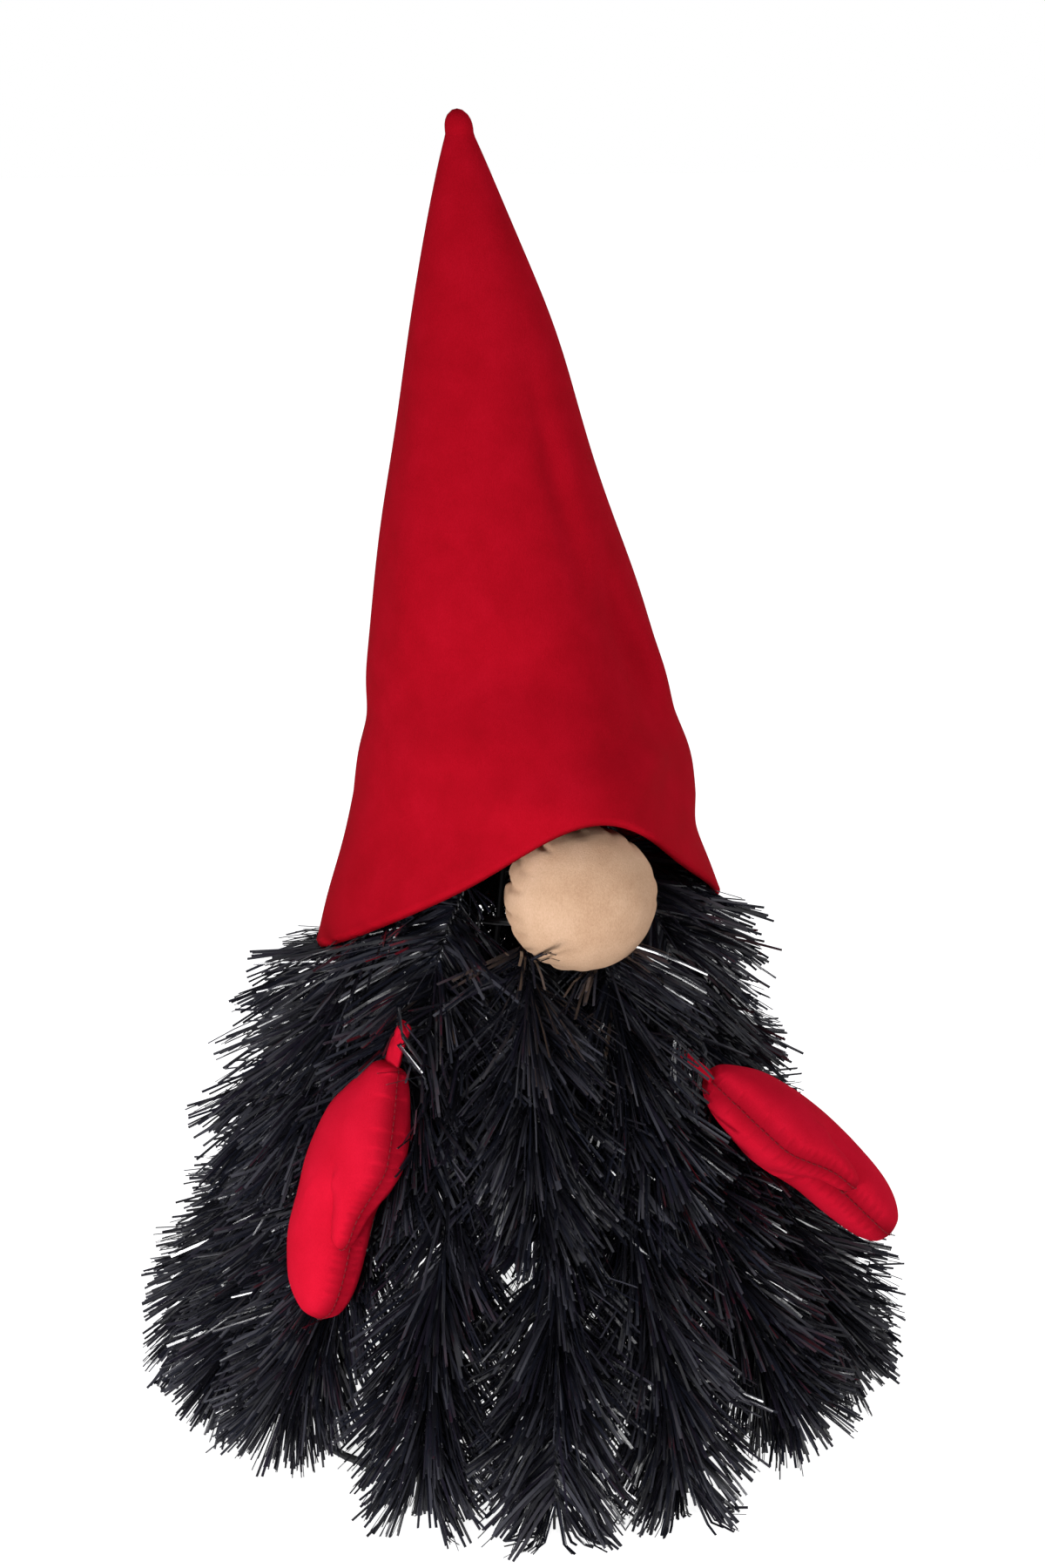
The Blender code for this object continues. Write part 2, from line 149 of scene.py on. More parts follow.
def mesh_from_arrays(name, verts, quads, tris, materials, quad_slots=None, tri_slots=None, smooth=False):
    """A mesh from whole arrays of vertices, quads and triangles."""
    mesh = bpy.data.meshes.new(name)
    loops = np.concatenate([quads.ravel(), tris.ravel()]).astype(np.int32)
    starts = [np.arange(len(quads)) * 4, len(quads) * 4 + np.arange(len(tris)) * 3]
    starts = np.concatenate(starts).astype(np.int32)
    mesh.vertices.add(len(verts))
    mesh.vertices.foreach_set("co", np.ascontiguousarray(verts, dtype=np.float32).ravel())
    mesh.loops.add(len(loops))
    mesh.loops.foreach_set("vertex_index", loops)
    mesh.polygons.add(len(starts))
    mesh.polygons.foreach_set("loop_start", starts)
    for material in materials:
        mesh.materials.append(material)
    if quad_slots is not None:
        slots = np.concatenate([quad_slots, tri_slots]).astype(np.int32)
        mesh.polygons.foreach_set("material_index", slots)
    mesh.polygons.foreach_set("use_smooth", np.full(len(starts), smooth))
    mesh.update(calc_edges=True)
    mesh.validate()
    return link(bpy.data.objects.new(name, mesh))


def polar(radius, azimuth, z):
    return Vector((radius * sin(azimuth), -radius * cos(azimuth), z))


def unit(vectors):
    return vectors / np.maximum(np.linalg.norm(vectors, axis=-1, keepdims=True), 1e-9)


# ---- materials ----

PVC_IOR = 1.62
FIBRE_SHARE, CLOUD_SHARE = 0.55, 0.45


def new_material(name):
    material = bpy.data.materials.new(name)
    material.use_nodes = True
    nodes, links = material.node_tree.nodes, material.node_tree.links
    return material, nodes, links, nodes["Principled BSDF"]


def noise_node(nodes, links, scale, detail=4.0, roughness=0.6, stretch=(1, 1, 1)):
    """Object-space noise, optionally stretched."""
    place = nodes.new("ShaderNodeTexCoord")
    mapping = nodes.new("ShaderNodeMapping")
    mapping.inputs["Scale"].default_value = stretch
    texture = nodes.new("ShaderNodeTexNoise")
    texture.inputs["Scale"].default_value = scale
    texture.inputs["Detail"].default_value = detail
    texture.inputs["Roughness"].default_value = roughness
    links.new(place.outputs["Object"], mapping.inputs["Vector"])
    links.new(mapping.outputs["Vector"], texture.inputs["Vector"])
    return texture


def ramp_node(nodes, links, source, stops):
    ramp = nodes.new("ShaderNodeValToRGB")
    elements = ramp.color_ramp.elements
    while len(elements) < len(stops):
        elements.new(0.5)
    for element, (position, colour) in zip(elements, stops):
        element.position = position
        element.color = (*colour, 1)
    links.new(source, ramp.inputs["Fac"])
    return ramp


def range_node(nodes, links, source, low, high, to_low, to_high):
    mapped = nodes.new("ShaderNodeMapRange")
    for socket, value in (("From Min", low), ("From Max", high), ("To Min", to_low), ("To Max", to_high)):
        mapped.inputs[socket].default_value = value
    links.new(source, mapped.inputs["Value"])
    return mapped


def bump_node(nodes, links, height, distance, strength=1.0, below=None):
    bump = nodes.new("ShaderNodeBump")
    bump.inputs["Distance"].default_value = distance
    bump.inputs["Strength"].default_value = strength
    links.new(height, bump.inputs["Height"])
    if below is not None:
        links.new(below.outputs["Normal"], bump.inputs["Normal"])
    return bump


def bristle_material(name, colour, roughness):
    """Glossy PVC film: a constant colour for each shade, with a gloss that varies along the needle."""
    material, nodes, links, shader = new_material(name)
    shader.inputs["Base Color"].default_value = (*colour, 1)
    shader.inputs["IOR"].default_value = PVC_IOR
    streak = noise_node(nodes, links, 260, 2.0)
    gloss = range_node(nodes, links, streak.outputs["Fac"], 0.3, 0.7, roughness * 0.7, roughness * 1.4)
    links.new(gloss.outputs["Result"], shader.inputs["Roughness"])
    bump = bump_node(nodes, links, streak.outputs["Fac"], 0.0002, 0.15)
    links.new(bump.outputs["Normal"], shader.inputs["Normal"])
    return material


def wire_material(name, colour, roughness, metallic):
    material, nodes, links, shader = new_material(name)
    grain = noise_node(nodes, links, 900, 3.0)
    tones = [(0.35, tuple(c * 0.75 for c in colour)), (0.75, tuple(min(1, c * 1.4) for c in colour))]
    shade = ramp_node(nodes, links, grain.outputs["Fac"], tones)
    links.new(shade.outputs["Color"], shader.inputs["Base Color"])
    rough = range_node(nodes, links, grain.outputs["Fac"], 0.3, 0.7, roughness * 0.8, roughness * 1.25)
    links.new(rough.outputs["Result"], shader.inputs["Roughness"])
    shader.inputs["Metallic"].default_value = metallic
    bump = bump_node(nodes, links, grain.outputs["Fac"], 0.00008)
    links.new(bump.outputs["Normal"], shader.inputs["Normal"])
    return material


def felt_material(name, dark, mid, light, fibre=1900.0, sheen=0.06):
    """Pressed felt: matted fibres, faint mottling, a soft sheen and painted shade where the "seam" attribute
    is set.
    """
    material, nodes, links, shader = new_material(name)
    fibres = noise_node(nodes, links, fibre, 5.0, 0.7, (1, 1, 0.55))
    cloud = noise_node(nodes, links, 46, 5.0, 0.55)
    blend = nodes.new("ShaderNodeMath")
    blend.operation = "MULTIPLY_ADD"
    blend.inputs[1].default_value = FIBRE_SHARE
    links.new(fibres.outputs["Fac"], blend.inputs[0])
    mottling = nodes.new("ShaderNodeMath")
    mottling.operation = "MULTIPLY"
    mottling.inputs[1].default_value = CLOUD_SHARE
    links.new(cloud.outputs["Fac"], mottling.inputs[0])
    links.new(mottling.outputs["Value"], blend.inputs[2])
    shade = ramp_node(nodes, links, blend.outputs["Value"], [(0.34, dark), (0.5, mid), (0.68, light)])
    # Painted shade: the point attribute "seam" mixes the colour towards 0.30 of the dark tone, a painted
    # shadow along a seam's groove.
    seam = nodes.new("ShaderNodeAttribute")
    seam.attribute_name = "seam"
    seam_shade_mix = nodes.new("ShaderNodeMix")
    seam_shade_mix.data_type = "RGBA"
    seam_shade_mix.inputs["B"].default_value = (*[c * 0.30 for c in dark], 1)
    links.new(seam.outputs["Fac"], seam_shade_mix.inputs["Factor"])
    links.new(shade.outputs["Color"], seam_shade_mix.inputs["A"])
    links.new(seam_shade_mix.outputs["Result"], shader.inputs["Base Color"])
    rough = range_node(nodes, links, cloud.outputs["Fac"], 0.3, 0.7, 0.86, 0.98)
    links.new(rough.outputs["Result"], shader.inputs["Roughness"])
    shader.inputs["Sheen Weight"].default_value = sheen
    shader.inputs["Sheen Roughness"].default_value = 0.45
    shader.inputs["Sheen Tint"].default_value = (*light, 1)
    shader.inputs["Specular IOR Level"].default_value = 0.03
    coarse = bump_node(nodes, links, cloud.outputs["Fac"], 0.0012, 0.5)
    fine = bump_node(nodes, links, fibres.outputs["Fac"], 0.00028, 0.9, coarse)
    links.new(fine.outputs["Normal"], shader.inputs["Normal"])
    return material


BRISTLES = [
    bristle_material("bristle_black", (0.0095, 0.0095, 0.013), 0.15),
    bristle_material("bristle_blue_black", (0.012, 0.013, 0.021), 0.12),
    bristle_material("bristle_soft_black", (0.020, 0.020, 0.028), 0.21),
    bristle_material("bristle_plum_black", (0.015, 0.013, 0.022), 0.14),
    bristle_material("bristle_grey_black", (0.046, 0.046, 0.059), 0.18),
]
BRISTLE_SHARES = (0.30, 0.22, 0.20, 0.12, 0.16)
STEM_WIRE = wire_material("stem_wire", (0.06, 0.06, 0.065), 0.42, 0.7)
CAGE_WIRE = wire_material("cage_wire", (0.022, 0.022, 0.024), 0.45, 0.3)
RED_FELT = felt_material(
    "red_felt", (0.345, 0.0020, 0.0085), (0.405, 0.0026, 0.0115), (0.470, 0.0042, 0.0165))
MITTEN_FELT = felt_material(
    "mitten_felt", (0.50, 0.0042, 0.019), (0.57, 0.0058, 0.025), (0.64, 0.0085, 0.033))
FLEECE = felt_material(
    "beige_fleece", (0.50, 0.30, 0.185), (0.60, 0.385, 0.25), (0.70, 0.47, 0.325), 1300.0, 0.25)
FILLING = felt_material(
    "white_filling", (0.70, 0.70, 0.68), (0.82, 0.82, 0.80), (0.90, 0.90, 0.89), 700.0, 0.3)
RED_THREAD = wire_material("red_thread", (0.19, 0.002, 0.008), 0.8, 0.0)
BEIGE_THREAD = wire_material("beige_thread", (0.45, 0.33, 0.22), 0.8, 0.0)


# ---- shape of the hat ----

HAT_FOLDS = (
    # azimuth, height, swing in azimuth, rise, depth: soft hollows (negative) and ridges of the felt
    (-15, 0.432, 20, 0.022, -0.0062),
    (-42, 0.395, 16, 0.020, 0.0044),
    (-14, 0.372, 14, 0.012, 0.0040),
    (-66, 0.330, 22, 0.020, -0.0022),
    (40, 0.450, 10, 0.030, -0.0062),
    (58, 0.420, 12, 0.028, 0.0048),
    (72, 0.330, 22, 0.018, -0.0040),
    (-105, 0.395, 22, 0.016, -0.0030),
    (75, 0.375, 24, 0.020, 0.0034),
    (140, 0.400, 26, 0.030, -0.0040),
    (-150, 0.440, 24, 0.034, -0.0038),
    (175, 0.520, 22, 0.040, -0.0030),
    (110, 0.500, 20, 0.034, 0.0026),
    (-90, 0.550, 18, 0.040, -0.0018),
    (20, 0.560, 20, 0.040, -0.0018),
    (85, 0.605, 55, 0.050, 0.0034),
    (85, 0.460, 40, 0.045, 0.0030),
    (-95, 0.500, 40, 0.060, 0.0014),
    (-100, 0.285, 30, 0.030, 0.0030),
    (14, 0.395, 12, 0.010, -0.0034),
    (30, 0.385, 16, 0.011, 0.0036),
    (24, 0.520, 9, 0.050, -0.0034),
    (-60, 0.470, 12, 0.040, 0.0026),
)


def turned_from(azimuth, other):
    return (azimuth - other + pi) % (2 * pi) - pi


def hat_radius(z):
    cone = HAT_BRIM_R * (np.maximum(0.0, HAT_TIP_Z - z) / HAT_HEIGHT) ** HAT_BULGE_POWER
    below_tip = np.maximum(0.0, HAT_TOP_Z - z)
    rounded = HAT_TIP_R * np.sqrt(np.clip(1 - (1 - below_tip / HAT_TIP_ROUNDING) ** 2, 0, 1))
    return np.where(below_tip < HAT_TIP_ROUNDING, rounded, np.maximum(cone, HAT_TIP_R))


def hat_centre_x(z):
    return HAT_LEAN_X * np.maximum(0.0, (z - HAT_LEAN_START_Z) / (HAT_TIP_Z - HAT_LEAN_START_Z))


def brim_height(azimuth):
    arch = ((1 + np.cos(azimuth - BRIM_ARCH_AZIMUTH)) / 2) ** BRIM_ARCH_POWER
    lift = np.exp(-(turned_from(azimuth, BRIM_LIFT_AZIMUTH) / BRIM_LIFT_WIDTH) ** 2)
    return BRIM_LOW_Z + BRIM_ARCH * arch + BRIM_LIFT * lift


def hat_fold(azimuth, z):
    depth = np.zeros_like(z)
    for at, height, swing, rise, amount in HAT_FOLDS:
        off = turned_from(azimuth, radians(at)) / radians(swing)
        depth = depth + amount * np.exp(-off ** 2 - ((z - height) / rise) ** 2)
    return depth


def hat_wall(azimuth, z):
    """Radius of the hat's outer surface round its leaning axis."""
    over_nose = np.exp(-(turned_from(azimuth, 0.0) / NOSE_BULGE_WIDTH) ** 2)
    rise = np.exp(-(np.maximum(0.0, z - brim_height(0.0)) / NOSE_BULGE_RISE) ** 2)
    above_brim = np.maximum(0.0, z - brim_height(azimuth))
    flare = BRIM_FLARE * np.exp(-above_brim / BRIM_FLARE_RISE) * (1 - over_nose)
    return hat_radius(z) + NOSE_BULGE * over_nose * rise + hat_fold(azimuth, z) + flare


# ---- mitten frame, shared by the mittens and by the needles that make room for them ----

MITTEN_T = (0.0, 0.02, 0.10, 0.25, 0.42, 0.62, 0.70, 0.85, 0.95, 1.0)
MITTEN_THUMB = (0.008, 0.011, 0.017, 0.024, 0.030, 0.031, 0.024, 0.017, 0.012, -0.002)
MITTEN_OUTER = (-0.008, -0.010, -0.020, -0.034, -0.036, -0.034, -0.033, -0.029, -0.019, -0.004)


def mitten_frame(side):
    """Matrix whose Y points up the mitten and whose Z points out of the skirt."""
    azimuth, tilt, swing = (radians(side[key]) for key in ("azimuth", "tilt", "swing"))
    out = Vector((sin(azimuth) * cos(tilt), -cos(azimuth) * cos(tilt), sin(tilt)))
    level = Vector((cos(azimuth), sin(azimuth), 0))
    down = level.cross(out)
    if down.z > 0:
        down.negate()
    up = -(down * cos(swing) + level * sin(swing))
    turn = Matrix((up.cross(out), up, out)).transposed().to_4x4()
    return Matrix.Translation(side["seam"]) @ turn


# ---- needles ----

def flat_side(azimuth):
    """How far an azimuth lies on the slimmer side of the skirt."""
    return np.exp(-(turned_from(azimuth, FLAT_SIDE_AZIMUTH) / FLAT_SIDE_WIDTH) ** 2)


def stem_reach(z, azimuth):
    return np.interp(z, STEM_Z, STEM_REACH) - np.interp(z, FLAT_SIDE_Z, FLAT_SIDE) * flat_side(azimuth)


def smooth_path(points, count):
    """Evenly spaced points on a Catmull-Rom curve through the given ones."""
    points = np.array(points, dtype=float)
    padded = np.vstack([2 * points[0] - points[1], points, 2 * points[-1] - points[-2]])
    dense = []
    for index in range(len(points) - 1):
        a, b, c, d = padded[index:index + 4]
        for u in np.linspace(0, 1, 24, endpoint=False):
            dense.append(0.5 * ((2 * b) + (c - a) * u + (2 * a - 5 * b + 4 * c - d) * u ** 2
                                + (3 * b - a - 3 * c + d) * u ** 3))
    dense.append(points[-1])
    dense = np.array(dense)
    run = np.concatenate([[0], np.cumsum(np.linalg.norm(np.diff(dense, axis=0), axis=1))])
    at = np.linspace(0, run[-1], count)
    return np.stack([np.interp(at, run, dense[:, axis]) for axis in range(3)], axis=1)


def path_frames(path):
    """Tangents and two crosswise directions along a path."""
    along = unit(np.gradient(path, axis=0))
    outward = unit(path * np.array([1, 1, 0]) + 1e-6)
    side = unit(np.cross(along, outward))
    return along, side, np.cross(side, along)


def clear_of_hat(points, keep):
    azimuth = np.arctan2(points[..., 0], -points[..., 1])
    z = points[..., 2]
    radius = np.hypot(points[..., 0], points[..., 1])
    wall = hat_wall(azimuth, z) - HAT_ROOM
    under_hat = (z > brim_height(azimuth) - BRIM_ROOM) & (radius > wall)
    shrink = np.where(under_hat, wall / np.maximum(radius, 1e-6), 1.0)
    points[..., 0] *= shrink
    points[..., 1] *= shrink
    keep &= ~(under_hat & (radius > wall + DEEPEST_UNDER_HAT)).any(axis=1)


def clear_of_nose(points, keep):
    from_nose = points - np.array(NOSE_CENTRE)
    distance = np.linalg.norm(from_nose, axis=-1)
    inside = distance < NOSE_R + NOSE_ROOM
    keep &= ~(distance < NOSE_R - DEEPEST_IN_NOSE).any(axis=1)
    out_to_skin = ((NOSE_R + NOSE_ROOM) / np.maximum(distance, 1e-6))[..., None]
    pushed = np.array(NOSE_CENTRE) + from_nose * out_to_skin
    points[inside] = pushed[inside]


def clear_of_mitten(points, keep, side):
    """Lays needles flat under a mitten and over its tab, and drops most of those in front of it."""
    place = np.array(mitten_frame(side))
    local = (points - place[:3, 3]) @ place[:3, :3]
    x, y = local[..., 0], local[..., 1]
    t = np.clip(-y / MITTEN_LENGTH, 0, 1)
    thumb, outer = np.interp(t, MITTEN_T, MITTEN_THUMB), np.interp(t, MITTEN_T, MITTEN_OUTER)
    half = (thumb - outer) / 2 + MITTEN_ROOM
    across = (x * side["thumb_side"] - (thumb + outer) / 2) / half
    depth = (MITTEN_DEPTH + MITTEN_ROOM) * np.sqrt(np.clip(1 - across ** 2, 0, 1))
    within = (np.abs(across) < 1) & (y < TAB_ROOM["low"]) & (y > -MITTEN_LENGTH - 0.002)
    by_tab = (np.abs(x) < TAB_ROOM["half_width"]) & (y >= TAB_ROOM["low"]) & (y < TAB_ROOM["high"])
    covering = y > TAB_COVER_START
    tab_skin = TAB_ROOM["half_depth"]
    tab_floor = np.where(covering, -TAB_COVER_DEPTH, -tab_skin)
    in_tab = by_tab & (local[..., 2] < tab_skin) & (local[..., 2] > tab_floor)
    above = (local[..., 2] > -0.001) | covering
    local[..., 2] = np.where(in_tab, tab_skin * np.where(above, 1, -1), local[..., 2])
    height = local[..., 2]
    under = within & (height < 0.3 * depth) & (height > -depth)
    over = within & (height >= 0.3 * depth) & (height < MITTEN_ROOF)
    local[..., 2] = np.where(under, -depth - 0.0005, local[..., 2])
    moved = under | in_tab
    points[moved] = (local @ place[:3, :3].T + place[:3, 3])[moved]
    keep &= ~over.any(axis=1) | (side["spare"] & (over.sum(axis=1) < 3))


def make_room(points, keep):
    """Moves needle points out of the hat, the nose, the mittens and the floor, or drops the needle."""
    clear_of_hat(points, keep)
    clear_of_nose(points, keep)
    for side in MITTENS.values():
        clear_of_mitten(points, keep, side)
    low = points[..., 2] < FLOOR_CLEARANCE
    points[..., 2] = np.where(low, FLOOR_CLEARANCE, points[..., 2])
    keep &= np.hypot(points[..., 0], points[..., 1]).max(axis=1) < WIDEST
    return points, keep


def grow_needles(path, bunches, bare, spread, droop, crowding):
    """Centre lines, flat directions and shades of needles that leave the stem in small bunches."""
    count = bunches * NEEDLES_IN_BUNCH
    along, side, out = path_frames(path)

    def shared(values):
        return np.repeat(values, NEEDLES_IN_BUNCH, axis=0)

    at = shared(bare + (1 - bare) * rng.random(bunches) ** crowding) + rng.normal(0, 0.012, count)
    row = np.clip(at * (len(path) - 1), 0, len(path) - 1.001)
    low = row.astype(int)
    part = (row - low)[:, None]
    root = path[low] * (1 - part) + path[low + 1] * part
    stem = unit(along[low] * (1 - part) + along[low + 1] * part)
    turn = shared(rng.random(bunches) * 2 * pi) + rng.normal(0, 0.13, count)
    stray_lean = shared(rng.normal(0, 8, bunches)) + rng.normal(0, 3.5, count)
    lean = np.radians(np.interp(at, LEAN_AT, spread) + stray_lean)
    around = np.cos(turn)[:, None] * side[low] + np.sin(turn)[:, None] * out[low]
    start = np.cos(lean)[:, None] * stem + np.sin(lean)[:, None] * around
    length = NEEDLE_LENGTH * rng.normal(1.0, 0.06, count) * np.interp(at, (0, 0.85, 1.0), (1.0, 0.95, 0.72))
    pull = shared(rng.normal(0.14, 0.10, bunches))[:, None] * stem
    sag = np.abs(shared(rng.normal(droop, 0.06, bunches)))[:, None] * np.array([0, 0, -1.0])
    stray = shared(rng.normal(0, 0.05, (bunches, 3))) + rng.normal(0, 0.03, (count, 3))
    points = [root]
    for step in range(1, NEEDLE_POINTS):
        u = (step - 0.5) / (NEEDLE_POINTS - 1)
        heading = unit(start + u * (pull + sag + stray))
        points.append(points[-1] + heading * (length / (NEEDLE_POINTS - 1))[:, None])
    points = np.stack(points, axis=1)
    for mitten in MITTENS.values():
        mitten["spare"] = rng.random(count) < STRAYS_OVER_MITTEN
    points, keep = make_room(points, np.ones(count, bool))
    flat = unit(np.cross(start, shared(rng.normal(0, 1, (bunches, 3))) + rng.normal(0, 0.25, (count, 3))))
    shade = rng.choice(len(BRISTLES), count, p=BRISTLE_SHARES)
    return points[keep], flat[keep], shade[keep]


def needle_mesh_arrays(points, flat, shade):
    """A thin three-sided blade along each centre line, cut square at the tip."""
    count, rings = points.shape[:2]
    heading = unit(np.gradient(points, axis=1))
    width = unit(flat[:, None, :] - (flat[:, None, :] * heading).sum(-1, keepdims=True) * heading)
    ridge = np.cross(heading, width)
    taper = np.linspace(1.0, 0.72, rings)[None, :, None] * NEEDLE_WIDTH / 2
    edges = width * taper
    corners = np.stack([points + edges, points - edges, points + ridge * NEEDLE_RIDGE], axis=2)
    verts = corners.reshape(-1, 3)
    base = np.arange(count)[:, None, None] * rings * 3
    ring = np.arange(rings - 1)[None, :, None] * 3
    edge = np.arange(3)[None, None, :]
    after = (edge + 1) % 3
    near = base + ring
    far = near + 3
    quads = np.stack([near + edge, near + after, far + after, far + edge], axis=-1)
    quads = quads.reshape(-1, 4)[:, ::-1]
    first = np.arange(count)[:, None] * rings * 3
    root_cap = first + np.array([[0, 1, 2]])
    tip_cap = first + (rings - 1) * 3 + np.array([[2, 1, 0]])
    tris = np.concatenate([root_cap, tip_cap])
    return verts, quads, tris, np.repeat(shade, (rings - 1) * 3), np.concatenate([shade, shade])


def twisted_wire_arrays(path, pitch=0.0075, offset=0.00075, thickness=0.00065, sides=5):
    """Two strands twisted round each other along a path."""
    run = np.linalg.norm(np.diff(path, axis=0), axis=1).sum()
    count = max(8, int(run / pitch * 7))
    rows = np.linspace(0, len(path) - 1, count)
    centre = np.stack([np.interp(rows, np.arange(len(path)), path[:, axis]) for axis in range(3)], axis=1)
    along, side, out = path_frames(centre)
    spin = np.linspace(0, run / pitch * 2 * pi, count)
    verts, quads, tris = [], [], []
    for strand in range(2):
        angle = spin + strand * pi
        lift = np.cos(angle)[:, None] * side + np.sin(angle)[:, None] * out
        core = centre + offset * lift
        start = len(verts) * count * sides
        ring = []
        for corner in range(sides):
            a = 2 * pi * corner / sides
            ring.append(core + thickness * (cos(a) * side + sin(a) * out))
        verts.append(np.stack(ring, axis=1).reshape(-1, 3))
        row = np.arange(count - 1)[:, None] * sides
        corner = np.arange(sides)[None, :]
        after = (corner + 1) % sides
        quads.append((start + np.stack([row + corner, row + after, row + sides + after, row + sides + corner],
                                       axis=-1)).reshape(-1, 4))
        fan = np.arange(1, sides - 1)
        tris.append(start + np.stack([np.zeros_like(fan), fan + 1, fan], axis=1))
        last = start + (count - 1) * sides
        tris.append(last + np.stack([np.zeros_like(fan), fan, fan + 1], axis=1))
    return np.concatenate(verts), np.concatenate(quads), np.concatenate(tris)


def branch_path(tier, azimuth):
    """Route of a stem: out from under the hat and down the skirt, with a little wander."""
    wander = rng.normal(0, STEM_WANDER, 3)
    wander[0] *= WANDER_AT_TOP
    if tier == "long":
        heights = (*LONG_Z, rng.uniform(*LONG_END_Z))
        tuck = (*LONG_TUCK, -rng.uniform(*LONG_END_TUCK))
        turns = np.interp(LONG_TURN_AT, (0, 0.45, 1), wander)
    else:
        heights = (*SHORT_Z, rng.uniform(*SHORT_END_Z))
        tuck = SHORT_TUCK
        turns = np.interp(SHORT_TURN_AT, (0, 0.5, 1), wander)
    points = [polar(stem_reach(z, azimuth) - inward, azimuth + turn, z)
              for z, inward, turn in zip(heights, tuck, turns)]
    return smooth_path(points, 60)


def build_branch(node, tier, azimuth):
    path = branch_path(tier, azimuth)
    if tier == "long":
        needles = grow_needles(path, BUNCHES_PER_LONG, BARE_LONG, LONG_LEAN, DROOP_LONG, LONG_CROWDING)
    else:
        bare = BARE_BELOW_NOSE if cos(azimuth) > cos(NOSE_SECTOR) else BARE_SHORT
        drawn_in = FLAT_SIDE_LEAN * float(flat_side(azimuth))
        top, upper, lower, tip = SHORT_LEAN
        spread = (top - drawn_in, upper - drawn_in, lower - drawn_in / 2, tip)
        needles = grow_needles(path, BUNCHES_PER_SHORT, bare, spread, DROOP_SHORT, SHORT_CROWDING)
    verts, quads, tris, quad_slots, tri_slots = needle_mesh_arrays(*needles)
    wire_verts, wire_quads, wire_tris = twisted_wire_arrays(path)
    wire_slot = len(BRISTLES)
    piece = mesh_from_arrays(
        node + "_bristles", np.concatenate([verts, wire_verts]),
        np.concatenate([quads, wire_quads + len(verts)]), np.concatenate([tris, wire_tris + len(verts)]),
        BRISTLES + [STEM_WIRE], np.concatenate([quad_slots, np.full(len(wire_quads), wire_slot)]),
        np.concatenate([tri_slots, np.full(len(wire_tris), wire_slot)]))
    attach(piece, "skirt")
    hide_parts(node)
    return piece


def build_skirt():
    for tier, count in (("long", LONG_COUNT), ("short", SHORT_COUNT)):
        for index in range(count):
            build_branch(f"{tier}_branch_{index + 1:02d}", tier, 2 * pi * (index + 0.5) / count)


# ---- hat ----

def hat_row(azimuths, radius, z, drop=0.0):
    """One ring of points round the hat's leaning axis."""
    x = radius * np.sin(azimuths) + hat_centre_x(z)
    return np.stack([x, -radius * np.cos(azimuths), z - drop], axis=1)


def build_hat():
    """One felt cone: hem folded up inside, over the brim's soft edge and on to the tip."""
    around, up, hem = 200, 190, 10
    azimuths = np.linspace(-pi, pi, around, endpoint=False)
    verts = []
    for step in range(hem):
        u = step / (hem - 1)
        bend = pi * max(0.0, (u - 0.5) / 0.5)
        inward = FELT * (0.5 + 0.5 * cos(bend))
        z = brim_height(azimuths) + HEM_DEPTH * (1 - u) + FELT
        radius = hat_wall(azimuths, z) - FELT * 1.1 - inward * 1.2
        verts.append(hat_row(azimuths, radius, z, FELT))
    for step in range(1, up):
        u = (step / (up - 1)) ** 1.02
        low = brim_height(azimuths) + FELT * 0.8
        z = low + (HAT_TOP_Z - FELT * 0.3 - low) * u
        dip = SEAM_DIP * np.exp(-(turned_from(azimuths, pi) / SEAM_DIP_WIDTH) ** 2) * (1 - u ** 4)
        verts.append(hat_row(azimuths, hat_wall(azimuths, z) - dip, z))
    total = len(verts)
    tip = np.array([[float(hat_centre_x(HAT_TOP_Z)), 0, HAT_TOP_Z]])
    verts = np.concatenate(verts + [tip])
    row = np.arange(total - 1)[:, None] * around
    column = np.arange(around)[None, :]
    after = (column + 1) % around
    above = row + around
    quads = np.stack([row + column, row + after, above + after, above + column], axis=-1).reshape(-1, 4)
    last = (total - 1) * around
    tris = np.stack([last + np.arange(around), last + (np.arange(around) + 1) % around,
                     np.full(around, len(verts) - 1)], axis=1)
    hat = mesh_from_arrays("felt_hat", verts, quads, tris, [RED_FELT], smooth=True)
    # Painted shade: a narrow "seam" band of up to 0.75 down the back seam darkens the felt there, a painted
    # shadow in the seam's dip.
    hat.data.attributes.new("seam", "FLOAT", "POINT")
    azimuth = np.arctan2(verts[:, 0] - hat_centre_x(verts[:, 2]), -verts[:, 1])
    from_seam = turned_from(azimuth, pi) * hat_radius(verts[:, 2])
    seam = np.exp(-(from_seam / HAT_SEAM_SHADE_WIDTH) ** 2) * 0.75
    hat.data.attributes["seam"].data.foreach_set("value", seam.astype(np.float32))
    skin = hat.modifiers.new("felt", "SOLIDIFY")
    skin.thickness = FELT
    skin.offset = -1
    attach(hat, "hat")
    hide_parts("hat_shell")
    return hat


